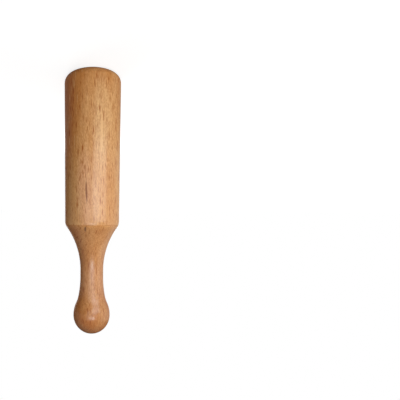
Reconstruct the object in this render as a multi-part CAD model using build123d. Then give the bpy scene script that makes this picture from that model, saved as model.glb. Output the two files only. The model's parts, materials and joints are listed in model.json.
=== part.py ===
from build123d import *
import os
from math import acos, cos, degrees, radians, sin

# A blown wooden bird call, standing on its mouth end. Z runs up the axis from the middle of the
# mouth face, and the reed's flat looks along +Y. All sizes are in millimetres.

# Barrel
barrel_length = 74.2     # mouth face to the joint under the stopper's shoulder
mouth_radius = 14.1      # outside at the mouth, before the lip is rounded
shoulder_radius = 13.42  # outside at the joint, before the corner is rounded
bore_radius = 8.0        # straight through
lip_round = 4.0          # outer edge of the mouth
bore_round = 0.6         # inner edge of the mouth
socket_chamfer = 0.5     # lead-in for the cork

# Joint between barrel and stopper, which are turned together
corner_round = 5.2
joint_vee = 0.12         # edge break on each side of the joint

# Stopper, outside
sweep_radius = 37.0      # hollow sweep from the shoulder to the waist
waist_radius = 5.7
waist_length = 3.5       # straight part of the neck
swell_radius = 48.5      # slow hollow swell above the waist
swell_angle = 11.4
throat_radius = 13.3     # tighter hollow turn into the ball
throat_angle = 14.0
ball_radius = 9.05
rim_round = 0.6          # edge of the sound hole

# Stopper, inside and tenon
sound_radius = 2.5       # from the ball's tip to the reed's socket
tenon_length = 20.0
tenon_clearance = 0.3    # wood to wood, in the barrel's bore
tenon_chamfer = 0.5
socket_radius = 4.55     # round hole for the reed in the tenon's end
socket_depth = 13.0

# Cork sleeve on the tenon
cork_setback = 3.0       # from the tenon's end
cork_length = 12.0
cork_depth = 1.2         # recess in the tenon
cork_clearance = 0.04    # cork to the barrel's bore
cork_round = 0.2
glue_line = 0.02

# Reed
seat_clearance = 0.05    # trough and wedge in their socket
trough_wall = 1.0
trough_reach = 25.2      # trough outside the socket
tip_wall = 1.2           # closed end of the trough
tip_round = 1.0
tongue_thickness = 0.2
tongue_cover = 0.5       # tongue over each rail of the trough
tongue_setback = 0.6     # tongue's tip behind the trough's tip
tongue_root = 12.0       # tongue inside the socket
tongue_bend = 10.0       # free end that stands off the trough
tongue_lift = 0.8        # opening at its tip
tongue_corner = 1.2
wedge_gap = 0.02         # wedge over the tongue
wedge_root = 11.0        # wedge inside the socket
wedge_nose = 3.0         # wedge outside the socket
wedge_round = 1.0

overcut = 1.0            # how far a cut runs past the face that it opens

# Places and sizes that follow from these
tenon_radius = bore_radius - tenon_clearance
cork_seat_radius = tenon_radius - cork_depth
trough_radius = socket_radius - seat_clearance
channel_radius = trough_radius - trough_wall
tongue_width = 2 * (channel_radius + tongue_cover)
tenon_end = barrel_length - tenon_length
cork_low = tenon_end + cork_setback
socket_floor = tenon_end + socket_depth
trough_tip = tenon_end - trough_reach
tongue_tip = trough_tip + tongue_setback
bend_start = tongue_tip + tongue_bend


def rod(radius, low, high):
    return Pos(0, 0, low) * Cylinder(radius, high - low, align=(Align.CENTER, Align.CENTER, Align.MIN))


def outer_circle(solid, end):
    """Widest circular edge at the lower (0) or upper (-1) end of a turned piece."""
    rings = solid.edges().filter_by(GeomType.CIRCLE).group_by(Axis.Z)[end]
    return rings.sort_by(SortBy.RADIUS)[-1]


def inner_circle(solid, end):
    rings = solid.edges().filter_by(GeomType.CIRCLE).group_by(Axis.Z)[end]
    return rings.sort_by(SortBy.RADIUS)[0]


def round_corner(outline, near, radius):
    """Round the outline's corner that lies nearest to a point."""
    return fillet(outline.vertices().sort_by_distance(near)[0], radius)


def turned_form():
    """Outside of the whole call, as barrel and stopper are turned together, with the sound hole."""
    sweep_angle = acos(1 - (shoulder_radius - waist_radius) / sweep_radius)
    waist_low = barrel_length + sweep_radius * sin(sweep_angle)
    waist_high = waist_low + waist_length
    throat_end_angle = swell_angle + throat_angle

    foot = Line((0, 0), (mouth_radius, 0))
    side = Line((mouth_radius, 0), (shoulder_radius, barrel_length))
    sweep = JernArc((waist_radius, waist_low), (0, -1), sweep_radius, degrees(sweep_angle))
    waist = Line((waist_radius, waist_low), (waist_radius, waist_high))
    swell = JernArc(waist @ 1, (0, 1), swell_radius, -swell_angle)
    throat = JernArc(swell @ 1, swell % 1, throat_radius, -throat_angle)
    rise = ball_radius - (throat @ 1).X
    cheek_radius = rise / (1 - cos(radians(throat_end_angle)))
    cheek = JernArc(throat @ 1, throat % 1, cheek_radius, throat_end_angle)
    crown = JernArc(cheek @ 1, (0, 1), ball_radius, 90)
    axis = Line(crown @ 1, (0, 0))

    outline = make_face([foot, side, sweep, waist, swell, throat, cheek, crown, axis])
    hole_top = (crown @ 1).Y + overcut
    hole = Rectangle(sound_radius, hole_top - barrel_length, align=(Align.MIN, Align.MIN))
    outline -= Pos(0, barrel_length) * hole
    outline = round_corner(outline, (mouth_radius, 0), lip_round)
    outline = round_corner(outline, (shoulder_radius, barrel_length), corner_round)
    outline = round_corner(outline, (sound_radius, hole_top), rim_round)
    return revolve(Plane.XZ * outline, Axis.Z)


def make_barrel(form):
    barrel = split(form, Plane.XY.offset(barrel_length), keep=Keep.BOTTOM)
    barrel -= rod(bore_radius, -overcut, barrel_length + overcut)
    barrel = chamfer(outer_circle(barrel, -1), joint_vee)
    barrel = chamfer(inner_circle(barrel, -1), socket_chamfer)
    return fillet(inner_circle(barrel, 0), bore_round)


def make_stopper(form):
    upper = split(form, Plane.XY.offset(barrel_length), keep=Keep.TOP)
    upper = chamfer(outer_circle(upper, 0), joint_vee)
    tenon = rod(tenon_radius, tenon_end, barrel_length)
    tenon = chamfer(outer_circle(tenon, 0), tenon_chamfer)
    recess = rod(tenon_radius + overcut, cork_low, cork_low + cork_length)
    recess -= rod(cork_seat_radius, cork_low, cork_low + cork_length)
    tenon -= recess
    tenon -= rod(socket_radius, tenon_end - overcut, socket_floor)
    tenon -= rod(sound_radius, socket_floor - overcut, barrel_length + overcut)
    return upper + tenon


def make_tenon_cork():
    low = cork_low + glue_line
    high = cork_low + cork_length - glue_line
    cork = rod(bore_radius - cork_clearance, low, high)
    cork = fillet([outer_circle(cork, 0), outer_circle(cork, -1)], cork_round)
    return cork - rod(cork_seat_radius + glue_line, low - overcut, high + overcut)


def disc_band(radius, low_y, high_y):
    """The part of a disc between two heights on Y."""
    return Circle(radius) & Pos(0, (low_y + high_y) / 2) * Rectangle(2 * radius, high_y - low_y)


def lower_half(radius, low, high):
    """Half-round bar below the reed's flat."""
    return Pos(0, 0, low) * extrude(disc_band(radius, -radius, 0), high - low)


def make_reed_trough():
    trough = lower_half(trough_radius, trough_tip, socket_floor)
    trough = fillet(outer_circle(trough, 0), tip_round)
    return trough - lower_half(channel_radius, trough_tip + tip_wall, socket_floor + overcut)


def make_reed_tongue():
    """Strip with a flat root and a free end that curves away from the trough."""
    root_end = tenon_end + tongue_root
    bend_radius = (tongue_bend**2 + tongue_lift**2) / (2 * tongue_lift)
    bend_angle = degrees(acos(1 - tongue_lift / bend_radius))
    under = Line((0, root_end), (0, bend_start))
    under_bend = JernArc(under @ 1, (0, -1), bend_radius, bend_angle)
    over_bend = JernArc((tongue_thickness, bend_start), (0, -1), bend_radius - tongue_thickness, bend_angle)
    over = Line((tongue_thickness, bend_start), (tongue_thickness, root_end))
    tip = Line(under_bend @ 1, over_bend @ 1)
    end = Line(over @ 1, under @ 0)
    side = make_face([under, under_bend, tip, over_bend, over, end])
    strip = extrude(Plane.YZ * side, tongue_width / 2, both=True)

    length = root_end - tongue_tip
    plan = Pos(0, tongue_tip + length / 2) * Rectangle(tongue_width, length)
    plan = fillet(plan.vertices().group_by(Axis.Y)[0], tongue_corner)
    return strip & extrude(Plane.XZ * plan, trough_radius, both=True)


def make_reed_wedge():
    """Half-round cork over the tongue, with its nose outside the socket."""
    low = tenon_end - wedge_nose
    level = tongue_thickness + wedge_gap
    section = disc_band(trough_radius, level, trough_radius)
    wedge = Pos(0, 0, low) * extrude(section, wedge_nose + wedge_root)
    return fillet(outer_circle(wedge, 0), wedge_round)


call_form = turned_form()
pieces = {
    "barrel": make_barrel(call_form),
    "stopper": make_stopper(call_form),
    "tenon_cork": make_tenon_cork(),
    "reed_trough": make_reed_trough(),
    "reed_tongue": make_reed_tongue(),
    "reed_wedge": make_reed_wedge(),
}
os.makedirs("parts", exist_ok=True)
for node, piece in pieces.items():
    export_step(piece, f"parts/{node}.step")
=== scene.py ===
import json
import math
import random

import bpy
from mathutils import Euler, Matrix, Vector


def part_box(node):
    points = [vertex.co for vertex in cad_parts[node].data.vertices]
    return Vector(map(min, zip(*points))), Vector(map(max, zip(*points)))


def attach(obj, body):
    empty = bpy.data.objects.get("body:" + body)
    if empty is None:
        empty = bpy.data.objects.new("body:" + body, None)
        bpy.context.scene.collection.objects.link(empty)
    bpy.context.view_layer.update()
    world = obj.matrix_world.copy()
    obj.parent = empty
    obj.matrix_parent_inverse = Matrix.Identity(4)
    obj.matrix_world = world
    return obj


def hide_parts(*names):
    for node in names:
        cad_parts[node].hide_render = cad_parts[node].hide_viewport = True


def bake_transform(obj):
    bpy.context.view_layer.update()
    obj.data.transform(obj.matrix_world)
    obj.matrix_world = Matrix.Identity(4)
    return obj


# The blown bird call, dressed around its solids. Lengths are in metres, in the call's own frame: it
# stands on its mouth end, with its axis along Z. Textures are laid out in millimetres.

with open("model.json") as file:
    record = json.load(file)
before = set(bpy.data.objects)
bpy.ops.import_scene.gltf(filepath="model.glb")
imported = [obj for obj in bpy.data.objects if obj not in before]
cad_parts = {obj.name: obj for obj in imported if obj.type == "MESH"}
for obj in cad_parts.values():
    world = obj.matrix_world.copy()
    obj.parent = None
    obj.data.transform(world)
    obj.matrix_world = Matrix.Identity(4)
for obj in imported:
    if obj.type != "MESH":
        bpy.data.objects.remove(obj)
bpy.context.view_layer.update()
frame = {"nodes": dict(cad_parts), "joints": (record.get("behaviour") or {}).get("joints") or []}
MM = 0.001

# The photograph's frame: a square of this many pixels, with the call upside down in it
image_px = 400
axis_px = 92.1           # column of the call's axis at the camera's height
level_px = 214.0         # row of the camera's height
axis_lean = 0.33         # degrees
px_per_m = 2000.0        # at the call's axis
camera_distance = 0.1674
camera_height = 0.06884  # above the mouth face
camera_sensor = 36.0     # millimetres
camera_near = 0.005      # nothing nearer is drawn

# Lamps stand on a circle round the call
lamp_distance = 0.20
lamp_aim = 0.065

# Studio. Its light depends on how far a direction points behind the call, from 0 at the call's sides to 1
# straight behind it. The levels belong to the two ends of room_behind.
room_behind = (0.0, 0.8)
wall_behind = (0.75, 0.98)  # where reflections turn to a white wall
room_level = (0.53, 0.06)   # in reflections
room_glow = (0.04, 0.22)    # on the call
floor_level = (0.08, 0.08)  # in reflections
floor_reach = 6.0
floor_grey = 0.35
floor_fade = (0.06, 0.16)   # distances from the call's axis
floor_white = (0.80, 0.98)  # how white the camera sees the floor there

# Beech: cells and rings in millimetres, noise in features per millimetre, shares from 0 to 1
sway_scale = (0.10, 0.10, 0.03)
sway_reach = (1.6, 1.6, 0.0)
cloud_scale = (0.16, 0.16, 0.012)
cloud_range = (0.25, 0.75)
ring_slope = (1.0, 1.0, 0.015)
ring_width = 2.7
late_range = (0.55, 0.98)   # late wood in a year's ring
late_share = 0.05
streak_scale = (2.2, 2.2, 0.10)
streak_range = (0.35, 0.70)
streak_share = 0.20
fibre_scale = (3.4, 3.4, 0.9)
fibre_range = (0.36, 0.66)
fibre_share = 0.34
fine_ray_cell = (0.46, 1.8, 4.2)
fine_ray_edge = (0.05, 0.46)
wide_ray_cell = (0.95, 3.2, 7.0)
wide_ray_edge = (0.05, 0.40)
pale_fibre_cell = (0.7, 2.4, 8.0)
pale_fibre_edge = (0.06, 0.40)
pale_fibre_shift = (31.0, 17.0, 5.0)
pale_fibre_rare = 0.2
pale_fibre_share = 0.6
mark_edge = (0.35, 1.0)
fibre_height = 0.5
ray_depth = 0.7
beech_bump = 0.25
beech_relief = 0.02 * MM
rough_fibre = (0.3, 0.8)
beech_rough = (0.46, 0.54)

# Cork
sleeve_bore = 6.52 * MM
sleeve_round = 0.2 * MM
sleeve_round_steps = 3
sleeve_sides = 240
sleeve_pits = 90
sleeve_seed = 3
wedge_round = 1.0 * MM
wedge_round_steps = 8
wedge_arc_steps = 72     # round the half circle, and on the flat under it
wedge_flat_steps = 40
wedge_end_steps = 12     # from the innermost loop of an end to its outline
wedge_core = 0.1         # innermost loop, as a share of the outline
wedge_middle = 0.45      # height that the loops close in on, as a share of the radius
wedge_clean = 0.3 * MM   # height above the flat without pits
wedge_pits = 40
wedge_seed = 11
cork_bands = 60          # along a straight side
pit_across = (0.18, 0.42)  # millimetres, from least to most
pit_along = (0.3, 1.1)
pit_depth = (0.08, 0.22)
cork_grain = 1.3         # grains per millimetre
speck_scale = (2.2, 2.2, 1.6)
speck_range = (0.55, 0.68)
speck_share = 0.6
pit_range = (0.1, 0.6)   # from clean cork to a pore, in shares of the deepest pit
pore_share = 0.85
grain_height = 0.4
cork_bump = 0.6
cork_relief = 0.05 * MM
cork_rough = (0.72, 0.9)

# Brass
line_stretch = 0.2       # drawing lines per millimetre along the piece
tarnish_scale = (0.25, 0.25, 0.12)
tarnish_range = (0.42, 0.68)
tarnish_wear = 0.4
wear_range = (0.3, 1.0)
brass_bump = 0.3
brass_relief = 0.01 * MM

# Reed tongue
tongue_thickness = 0.2 * MM
tongue_lift = 0.8 * MM   # opening at its tip
tongue_corner = 1.2 * MM
tongue_bevel = 0.04 * MM
tongue_root_bands = 12
tongue_free_bands = 20
tongue_tip_bands = 10

sharp_turn = 35.0        # degrees between two faces from which their edge shows


# Node building

def put(tree, kind, *values, **settings):
    """Adds a shader node. Values fill its inputs in order: a socket is linked, None is left alone."""
    node = tree.nodes.new(kind)
    for name, value in settings.items():
        setattr(node, name, value)
    for socket, value in zip(node.inputs, values):
        feed(tree, socket, value)
    return node


def feed(tree, socket, value):
    if isinstance(value, bpy.types.NodeSocket):
        tree.links.new(value, socket)
    elif value is not None:
        socket.default_value = value


def fill(tree, node, **values):
    """Fills a node's inputs by name; an underscore stands for a space."""
    for name, value in values.items():
        feed(tree, node.inputs[name.replace("_", " ")], value)
    return node


def maths(tree, operation, *values):
    return put(tree, "ShaderNodeMath", *values, operation=operation).outputs[0]


def vectors(tree, operation, *values):
    return put(tree, "ShaderNodeVectorMath", *values, operation=operation).outputs[0]


def length(tree, vector):
    return put(tree, "ShaderNodeVectorMath", vector, operation="LENGTH").outputs["Value"]


def times(tree, value, share):
    return maths(tree, "MULTIPLY", value, share)


def remap(tree, value, low, high, to_low=0.0, to_high=1.0):
    """Smooth step of a value from low..high to to_low..to_high."""
    node = put(tree, "ShaderNodeMapRange", interpolation_type="SMOOTHSTEP")
    fill(tree, node, Value=value, From_Min=low, From_Max=high, To_Min=to_low, To_Max=to_high)
    return node.outputs[0]


def mix_colour(tree, share, first, second):
    node = put(tree, "ShaderNodeMix", data_type="RGBA")
    for index, value in ((0, share), (6, first), (7, second)):
        feed(tree, node.inputs[index], value)
    return node.outputs[2]


def bumped(tree, height, strength, distance):
    bump = put(tree, "ShaderNodeBump")
    fill(tree, bump, Strength=strength, Distance=distance, Height=height)
    return bump.outputs[0]


def srgb(red, green, blue):
    """Colour from the 0 to 255 values that a picture shows."""
    linear = [c / 12.92 if c <= 0.04045 else ((c + 0.055) / 1.055) ** 2.4
              for c in (red / 255, green / 255, blue / 255)]
    return (*linear, 1.0)


def new_material(name):
    material = bpy.data.materials.new(name)
    material.use_nodes = True
    tree = material.node_tree
    tree.nodes.clear()
    shader = put(tree, "ShaderNodeBsdfPrincipled")
    put(tree, "ShaderNodeOutputMaterial", shader.outputs[0])
    return material, tree, shader


def millimetres(tree, turn=(0.0, 0.0, 0.0), shift=(0.0, 0.0, 0.0)):
    """Place on the piece in millimetres, turned and shifted into the block that it was cut from."""
    place = put(tree, "ShaderNodeTexCoord").outputs["Object"]
    block = put(tree, "ShaderNodeMapping", place)
    fill(tree, block, Location=shift, Rotation=turn, Scale=(1 / MM, 1 / MM, 1 / MM))
    return block.outputs[0]


def noise_at(tree, place, scale, detail=2.0, roughness=0.5):
    """Smooth noise about 0.5, with its scale along each axis in features per millimetre."""
    node = put(tree, "ShaderNodeTexNoise")
    fill(tree, node, Vector=vectors(tree, "MULTIPLY", place, scale), Scale=1.0, Detail=detail,
         Roughness=roughness)
    return node


def spindles(tree, place, cell, edge, rare=0.0):
    """Spindles of many strengths in a lattice of random cells, with a share of the cells left empty.

    A spindle is full up to the first edge and gone at the second, in cells from its middle.
    """
    cells = put(tree, "ShaderNodeTexVoronoi", feature="F1", distance="EUCLIDEAN")
    fill(tree, cells, Vector=vectors(tree, "DIVIDE", place, cell), Scale=1.0, Randomness=1.0)
    spindle = remap(tree, cells.outputs["Distance"], *edge, 1.0, 0.0)
    chance = put(tree, "ShaderNodeSeparateColor", cells.outputs["Color"]).outputs[0]
    return maths(tree, "MULTIPLY", spindle, remap(tree, chance, rare, 1.0))


def lay_marks(tree, colour, place, marks):
    """Lays soft-edged spots over a colour: each has a colour, a share, a centre and a reach by axis."""
    for tint, share, centre, reach in marks:
        offset = vectors(tree, "DIVIDE", vectors(tree, "SUBTRACT", place, centre), reach)
        spot = remap(tree, length(tree, offset), *mark_edge, 1.0, 0.0)
        colour = mix_colour(tree, times(tree, spot, share), colour, tint)
    return colour


# Materials

def beech(name, turn, shift, pale, warm, gleam, fleck, rays, drift, shade_and_sheen_tints, marks):
    """Turned beech under satin lacquer: rays as dark dashes, long fibres and faint year rings.

    The colour drifts from pale to warm, by a share per millimetre along each axis from a middle point.
    Pale fibres take the gleam, and dark ones the fleck, as the fine and the wide rays do by their shares.
    Tints, which paint shade and sheen, lie under the grain and marks over it, as in lay_marks, in
    millimetres.
    """
    material, tree, shader = new_material(name)
    own = millimetres(tree)
    block = millimetres(tree, turn, shift)
    wander = vectors(tree, "SUBTRACT", noise_at(tree, block, sway_scale).outputs["Color"], (0.5, 0.5, 0.5))
    sway = vectors(tree, "MULTIPLY", wander, sway_reach)
    place = vectors(tree, "ADD", block, sway)
    swayed = vectors(tree, "ADD", own, sway)

    cloud = noise_at(tree, place, cloud_scale).outputs["Fac"]
    slope, middle = drift
    along = put(tree, "ShaderNodeVectorMath", vectors(tree, "SUBTRACT", own, middle), slope,
                operation="DOT_PRODUCT").outputs["Value"]
    broad = remap(tree, maths(tree, "ADD", cloud, along), *cloud_range)
    rings = length(tree, vectors(tree, "MULTIPLY", place, ring_slope))
    late = remap(tree, maths(tree, "FRACT", maths(tree, "DIVIDE", rings, ring_width)), *late_range)
    streak = noise_at(tree, place, streak_scale).outputs["Fac"]
    fibre = noise_at(tree, place, fibre_scale, detail=1.0).outputs["Fac"]
    fine_rays = spindles(tree, place, fine_ray_cell, fine_ray_edge)
    wide_rays = spindles(tree, place, wide_ray_cell, wide_ray_edge)
    pale_fibres = spindles(tree, vectors(tree, "ADD", place, pale_fibre_shift), pale_fibre_cell,
                           pale_fibre_edge, pale_fibre_rare)

    colour = mix_colour(tree, broad, pale, warm)
    colour = lay_marks(tree, colour, swayed, shade_and_sheen_tints)
    colour = mix_colour(tree, times(tree, pale_fibres, pale_fibre_share), colour, gleam)
    fine_share, wide_share = rays
    layers = [(late, late_share),
              (remap(tree, streak, *streak_range), streak_share),
              (remap(tree, fibre, *fibre_range), fibre_share),
              (fine_rays, fine_share),
              (wide_rays, wide_share)]
    for cover, share in layers:
        colour = mix_colour(tree, times(tree, cover, share), colour, fleck)
    colour = lay_marks(tree, colour, swayed, marks)

    relief = maths(tree, "SUBTRACT", times(tree, fibre, fibre_height), times(tree, wide_rays, ray_depth))
    fill(tree, shader, Base_Color=colour, Roughness=remap(tree, fibre, *rough_fibre, *beech_rough),
         Normal=bumped(tree, relief, beech_bump, beech_relief), Specular_IOR_Level=0.1,
         Coat_Weight=0.3, Coat_IOR=2.1, Coat_Roughness=0.22)
    return material


def cork(name, pale, brown, pore):
    """Natural cork: grains of many browns, and dark pores where the mesh is pitted."""
    material, tree, shader = new_material(name)
    place = millimetres(tree)
    grains = put(tree, "ShaderNodeTexVoronoi", feature="F1")
    fill(tree, grains, Vector=place, Scale=cork_grain)
    shade = put(tree, "ShaderNodeSeparateColor", grains.outputs["Color"]).outputs[0]
    speck = noise_at(tree, place, speck_scale, detail=4.0, roughness=0.6).outputs["Fac"]
    specks = remap(tree, speck, *speck_range)
    pit = put(tree, "ShaderNodeAttribute", attribute_name="pit").outputs["Fac"]
    dark = maths(tree, "MAXIMUM", remap(tree, pit, *pit_range), times(tree, specks, speck_share))
    colour = mix_colour(tree, shade, pale, brown)
    colour = mix_colour(tree, times(tree, dark, pore_share), colour, pore)
    relief = maths(tree, "SUBTRACT", times(tree, shade, grain_height), specks)
    fill(tree, shader, Base_Color=colour, Roughness=remap(tree, shade, 0.0, 1.0, *cork_rough),
         Normal=bumped(tree, relief, cork_bump, cork_relief))
    return material


def brass(name, bright, dull, lines_per_mm, roughness):
    """Drawn or rolled brass: fine lines along the drawing, and patches of tarnish."""
    material, tree, shader = new_material(name)
    place = millimetres(tree)
    lines = noise_at(tree, place, (lines_per_mm, lines_per_mm, line_stretch), detail=3.0).outputs["Fac"]
    tarnish = remap(tree, noise_at(tree, place, tarnish_scale, detail=5.0).outputs["Fac"], *tarnish_range)
    wear = maths(tree, "ADD", lines, times(tree, tarnish, tarnish_wear))
    fill(tree, shader, Base_Color=mix_colour(tree, tarnish, bright, dull), Metallic=1.0,
         Roughness=remap(tree, wear, *wear_range, *roughness),
         Normal=bumped(tree, lines, brass_bump, brass_relief))
    return material


def paint(node, material):
    slots = frame["nodes"][node].data.materials
    slots.clear()
    slots.append(material)


# Pieces

def skin(name, loops, ring=False):
    """Mesh through closed loops of equal counts, in order: a ring of loops, or a bar with flat ends."""
    count = len(loops[0])
    corners = [point for loop in loops for point in loop]
    bands = range(len(loops) if ring else len(loops) - 1)
    faces = []
    for band in bands:
        this, following = band * count, (band + 1) % len(loops) * count
        for i in range(count):
            j = (i + 1) % count
            faces.append((this + i, this + j, following + j, following + i))
    if not ring:
        faces.append(tuple(reversed(range(count))))
        faces.append(tuple(range((len(loops) - 1) * count, len(loops) * count)))
    mesh = bpy.data.meshes.new(name)
    mesh.from_pydata(corners, [], faces)
    mesh.update()
    piece = bpy.data.objects.new(name, mesh)
    bpy.context.scene.collection.objects.link(piece)
    return piece


def quarter(radius, steps):
    """Points of a quarter circle as (run, rise) from the start of a rounding to its end."""
    turns = [math.pi / 2 * step / steps for step in range(steps + 1)]
    return [(radius * math.sin(turn), radius * (1 - math.cos(turn))) for turn in turns]


def spread(low, high, steps):
    return [low + (high - low) * step / steps for step in range(steps + 1)]


def pit_cork(piece, count, seed, may_pit):
    """Presses lenticels into a cork mesh: narrow hollows along Z, which the material darkens."""
    draw = random.Random(seed)
    places = [(vertex.co.copy(), vertex.normal.copy()) for vertex in piece.data.vertices]
    open_places = [place for place, _ in places if may_pit(place)]
    pits = [(draw.choice(open_places), draw.uniform(*pit_across) * MM, draw.uniform(*pit_along) * MM,
             draw.uniform(*pit_depth) * MM) for _ in range(count)]
    hollow = piece.data.attributes.new("pit", "FLOAT", "POINT")
    deepest = max(depth for _, _, _, depth in pits)
    for index, (place, normal) in enumerate(places):
        down = 0.0
        if may_pit(place):
            for centre, across, along, depth in pits:
                offset = place - centre
                off = (offset.x**2 + offset.y**2) / across**2 + (offset.z / along)**2
                if off < 1.0:
                    down = max(down, depth * (1 - off) ** 0.5)
        piece.data.vertices[index].co = place - normal * down
        hollow.data[index].value = down / deepest


def finish_piece(piece, node, material):
    """The piece stands for a solid, with the finish of its slot."""
    piece.data.materials.append(material)
    piece.data.shade_smooth()
    piece.data.set_sharp_from_angle(angle=math.radians(sharp_turn))
    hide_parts(node)


def make_sleeve():
    """Cork sleeve in the tenon's recess, as a ring whose outer edges are rounded."""
    low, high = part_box("tenon_cork")
    outer = high.x
    rounding = quarter(sleeve_round, sleeve_round_steps)
    section = [(outer - sleeve_round + run, low.z + rise) for run, rise in rounding]
    section += [(outer, z) for z in spread(low.z + sleeve_round, high.z - sleeve_round, cork_bands)[1:-1]]
    section += [(outer - sleeve_round + run, high.z - rise) for run, rise in reversed(rounding)]
    section += [(sleeve_bore, high.z), (sleeve_bore, low.z)]
    turns = [math.tau * step / sleeve_sides for step in range(sleeve_sides)]
    loops = [[Vector((r * math.cos(turn), r * math.sin(turn), z)) for turn in turns] for r, z in section]
    sleeve = skin("cork_sleeve", loops, ring=True)
    pit_cork(sleeve, sleeve_pits, sleeve_seed, lambda place: place.xy.length > outer - sleeve_round)
    return sleeve


def make_wedge():
    """Half-round cork over the tongue; its nose is rounded, and stands out of the socket."""
    low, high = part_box("reed_wedge")
    radius = high.y
    flat = low.y

    def section(r, z, share=1.0):
        """Loop round the half disc at a height, drawn in towards its middle by a share."""
        start = math.asin(flat / r)
        turns = spread(start, math.pi - start, wedge_arc_steps)
        arc = [(r * math.cos(turn), r * math.sin(turn)) for turn in turns]
        base = [(x, flat) for x in spread(arc[-1][0], arc[0][0], wedge_flat_steps)[1:-1]]
        middle = Vector((0.0, r * wedge_middle))
        return [Vector((*(middle + (Vector(point) - middle) * share), z)) for point in arc + base]

    shares = spread(wedge_core, 1.0, wedge_end_steps)
    nose = [section(radius - wedge_round, low.z, share) for share in shares[:-1]]
    bend = [section(radius - wedge_round + run, low.z + rise)
            for run, rise in quarter(wedge_round, wedge_round_steps)]
    sides = [section(radius, z) for z in spread(low.z + wedge_round, high.z, cork_bands)[1:-1]]
    root = [section(radius, high.z, share) for share in reversed(shares)]
    wedge = skin("cork_wedge", nose + bend + sides + root)
    pit_cork(wedge, wedge_pits, wedge_seed, lambda place: place.y > flat + wedge_clean)
    return wedge


def make_tongue(bend_z):
    """Brass strip with broken edges: a flat root, and a free end that curves away from the trough."""
    low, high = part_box("reed_tongue")
    half_width = high.x
    free_length = bend_z - low.z
    bend_radius = (free_length**2 + tongue_lift**2) / (2 * tongue_lift)
    tip_turn = math.asin(free_length / bend_radius)
    thick, edge = tongue_thickness, tongue_bevel

    def section(y, z, turn):
        """Loop round the strip where its underside is at y, z, with its flat tipped by a turn."""
        tip_run = min(z - low.z, tongue_corner)
        half = half_width - tongue_corner + math.sqrt(tongue_corner**2 - (tongue_corner - tip_run)**2)
        corners = [(half - edge, 0), (half, edge), (half, thick - edge), (half - edge, thick),
                   (edge - half, thick), (-half, thick - edge), (-half, edge), (edge - half, 0)]
        return [Vector((x, y + up * math.cos(turn), z + up * math.sin(turn))) for x, up in corners]

    root = [section(0.0, z, 0.0) for z in spread(high.z, bend_z, tongue_root_bands)[:-1]]
    tip_share = 1 - tongue_corner / free_length
    shares = spread(0.0, tip_share, tongue_free_bands)
    shares += [tip_share + run / free_length for run, _ in quarter(tongue_corner, tongue_tip_bands)[1:]]
    free = [section(bend_radius * (1 - math.cos(turn)), bend_z - bend_radius * math.sin(turn), turn)
            for turn in (math.asin(share * math.sin(tip_turn)) for share in shares)]
    return skin("brass_tongue", list(reversed(root + free)))


barrel_wood = beech(
    "barrel_beech", turn=(0.0, 0.014, 0.1), shift=(6.0, 62.0, 0.0),
    pale=srgb(226, 173, 112), warm=srgb(206, 137, 67), gleam=srgb(242, 196, 136), fleck=srgb(158, 78, 4),
    # Painted shade: the drift deepens the colour towards +X, the side in shade, and down towards the mouth
    rays=(1.0, 1.0), drift=((0.015, 0.0, -0.004), (0.0, 0.0, 40.0)),
    # Painted sheen, pale towards the mouth and rosy towards the shoulder; painted shade, a deeper colour
    # down the shaded +X side; and a deeper colour on the -X side near the shoulder
    shade_and_sheen_tints=[(srgb(244, 208, 152), 0.46, (-4.5, -13.2, 23.0), (6.3, 9.0, 29.0)),
           (srgb(240, 188, 150), 0.48, (3.0, -13.5, 58.0), (5.5, 9.0, 26.0)),
           (srgb(190, 94, 24), 0.52, (12.0, -7.0, 18.0), (6.0, 9.0, 40.0)),
           (srgb(206, 128, 58), 0.22, (-8.0, -11.0, 62.0), (8.0, 9.0, 26.0))],
    # A pale streak, partly pale fibres and partly a painted highlight, and the dark fleck
    marks=[(srgb(240, 194, 136), 0.5, (-4.0, -13.0, 32.0), (0.8, 6.0, 18.0)),
           (srgb(122, 58, 18), 0.8, (2.6, -13.2, 58.5), (0.6, 5.0, 7.0))])
stopper_wood = beech(
    "stopper_beech", turn=(0.02, -0.02, 0.5), shift=(-9.0, 55.0, 31.0),
    pale=srgb(213, 155, 97), warm=srgb(192, 122, 63), gleam=srgb(232, 180, 112), fleck=srgb(148, 70, 2),
    # Painted shade: the drift deepens the colour towards +X, the side in shade, and up towards the ball
    rays=(0.85, 0.75), drift=((0.010, 0.0, 0.005), (0.0, 0.0, 95.0)),
    # Painted sheen on the front of the neck, a painted highlight round the edge of the shoulder, painted
    # shade on its deeper +X side, and painted sheen on the front of the ball
    shade_and_sheen_tints=[(srgb(232, 178, 130), 0.44, (-0.5, -6.0, 103.0), (8.0, 9.0, 13.0)),
           (srgb(230, 170, 102), 0.50, (0.0, 0.0, 74.2), (40.0, 40.0, 3.0)),
           (srgb(176, 92, 32), 0.38, (9.5, -8.5, 77.5), (5.5, 7.0, 7.0)),
           (srgb(230, 174, 114), 0.35, (2.2, -8.0, 114.0), (5.5, 8.0, 6.5))],
    # The small dark mark under the shoulder
    marks=[(srgb(92, 52, 28), 0.8, (3.3, -12.4, 76.0), (0.7, 3.0, 1.8))])
trough_brass = brass("trough_brass", bright=(0.72, 0.46, 0.15, 1), dull=(0.42, 0.26, 0.09, 1),
                     lines_per_mm=9.0, roughness=(0.26, 0.5))
tongue_brass = brass("tongue_brass", bright=(0.80, 0.55, 0.20, 1), dull=(0.55, 0.36, 0.13, 1),
                     lines_per_mm=12.0, roughness=(0.2, 0.4))
cork_skin = cork("cork", pale=srgb(204, 158, 110), brown=srgb(172, 122, 80), pore=srgb(84, 52, 32))

paint("barrel", barrel_wood)
paint("stopper", stopper_wood)
paint("reed_trough", trough_brass)

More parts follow.
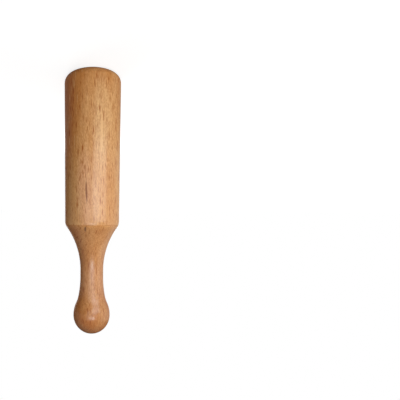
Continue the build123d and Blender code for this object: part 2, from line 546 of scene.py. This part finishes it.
sleeve = make_sleeve()
finish_piece(sleeve, "tenon_cork", cork_skin)
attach(sleeve, "stopper")
wedge = make_wedge()
finish_piece(wedge, "reed_wedge", cork_skin)
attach(wedge, "wedge")

beat = next(joint for joint in frame["joints"] if joint["name"] == "reed_beat")
bend_z = beat["pos_m"][2]
tongue = make_tongue(bend_z)
finish_piece(tongue, "reed_tongue", tongue_brass)
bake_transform(tongue)


# Stage, light and camera

def studio_level(tree, direction, room, glow=None):
    """Light sent back by the studio along a direction: white to the camera, and a white wall behind
    the call with a dim room in front of it in reflections. Diffuse rays get the glow, if there is one."""
    path = put(tree, "ShaderNodeLightPath").outputs
    behind = put(tree, "ShaderNodeSeparateXYZ", direction).outputs["Y"]
    mirrored = maths(tree, "MAXIMUM", path["Is Glossy Ray"], path["Is Transmission Ray"])
    dim = remap(tree, behind, *room_behind, *room)
    wall = remap(tree, behind, *wall_behind)
    reflection = times(tree, mirrored, maths(tree, "MAXIMUM", dim, wall))
    seen = maths(tree, "MAXIMUM", path["Is Camera Ray"], reflection)
    if glow is None:
        return seen
    light = remap(tree, behind, *room_behind, *glow)
    return maths(tree, "ADD", seen, times(tree, path["Is Diffuse Ray"], light))


def stage_floor():
    """A wide pale floor that the camera sees as white, and that still takes the call's shadow."""
    mesh = bpy.data.meshes.new("floor")
    corners = [(x * floor_reach, y * floor_reach, 0) for x, y in ((-1, -1), (1, -1), (1, 1), (-1, 1))]
    mesh.from_pydata(corners, [], [(0, 1, 2, 3)])
    floor = bpy.data.objects.new("floor", mesh)
    bpy.context.scene.collection.objects.link(floor)
    material = bpy.data.materials.new("floor")
    material.use_nodes = True
    tree = material.node_tree
    tree.nodes.clear()
    place = put(tree, "ShaderNodeTexCoord").outputs["Object"]
    level = studio_level(tree, vectors(tree, "NORMALIZE", place), floor_level)
    white = remap(tree, length(tree, place), *floor_fade, *floor_white)
    diffuse = put(tree, "ShaderNodeBsdfDiffuse", (floor_grey, floor_grey, floor_grey, 1.0))
    emission = put(tree, "ShaderNodeEmission", (1.0, 1.0, 1.0, 1.0), maths(tree, "MULTIPLY", level, white))
    surface = put(tree, "ShaderNodeAddShader", diffuse.outputs[0], emission.outputs[0])
    put(tree, "ShaderNodeOutputMaterial", surface.outputs[0])
    mesh.materials.append(material)


def surroundings():
    world = bpy.data.worlds.new("studio")
    bpy.context.scene.world = world
    world.use_nodes = True
    tree = world.node_tree
    tree.nodes.clear()
    direction = put(tree, "ShaderNodeTexCoord").outputs["Generated"]
    level = studio_level(tree, direction, room_level, room_glow)
    background = put(tree, "ShaderNodeBackground", (1.0, 1.0, 1.0, 1.0), level)
    put(tree, "ShaderNodeOutputWorld", background.outputs[0])


def soft_box(name, bearing, height, size, watts, mirrored=True):
    """Lamp aimed at the middle of the call. Its bearing is in degrees, from the camera towards -X, and
    the lacquer and the brass reflect it only if it is mirrored."""
    lamp = bpy.data.lights.new(name, "AREA")
    lamp.shape = "RECTANGLE"
    lamp.size, lamp.size_y = size
    lamp.energy = watts
    holder = bpy.data.objects.new(name, lamp)
    turn = math.radians(bearing)
    holder.location = (-lamp_distance * math.sin(turn), -lamp_distance * math.cos(turn), height)
    aim = Vector((0.0, 0.0, lamp_aim)) - holder.location
    holder.rotation_euler = aim.to_track_quat("-Z", "Y").to_euler()
    holder.visible_camera = False
    holder.visible_glossy = mirrored
    bpy.context.scene.collection.objects.link(holder)


def photograph_camera():
    """Level with the shoulder and rolled over, so that the mouth end is at the top of the picture."""
    data = bpy.data.cameras.new("camera")
    data.sensor_width = camera_sensor
    data.lens = camera_sensor * camera_distance * px_per_m / image_px
    data.shift_x = (image_px / 2 - axis_px) / image_px
    data.shift_y = (level_px - image_px / 2) / image_px
    data.clip_start = camera_near
    camera = bpy.data.objects.new("camera", data)
    camera.location = (0.0, -camera_distance, camera_height)
    level = Euler((math.pi / 2, 0.0, 0.0)).to_matrix()
    roll = Matrix.Rotation(math.pi + math.radians(axis_lean), 3, "Z")
    camera.rotation_euler = (level @ roll).to_euler()
    bpy.context.scene.collection.objects.link(camera)
    bpy.context.scene.camera = camera


stage_floor()
surroundings()
soft_box("key", bearing=30.0, height=0.04, size=(0.20, 0.10), watts=0.22)
soft_box("window", bearing=2.0, height=0.11, size=(0.24, 0.14), watts=0.135)
soft_box("glint", bearing=4.0, height=0.155, size=(0.10, 0.03), watts=0.06)
soft_box("side", bearing=75.0, height=0.09, size=(0.16, 0.24), watts=0.11)
soft_box("rim", bearing=120.0, height=0.09, size=(0.16, 0.24), watts=0.10)
soft_box("back", bearing=180.0, height=0.08, size=(0.12, 0.12), watts=0.06)
soft_box("fill", bearing=210.0, height=0.08, size=(0.12, 0.16), watts=0.27, mirrored=False)
photograph_camera()
bpy.context.scene.view_settings.view_transform = "Standard"
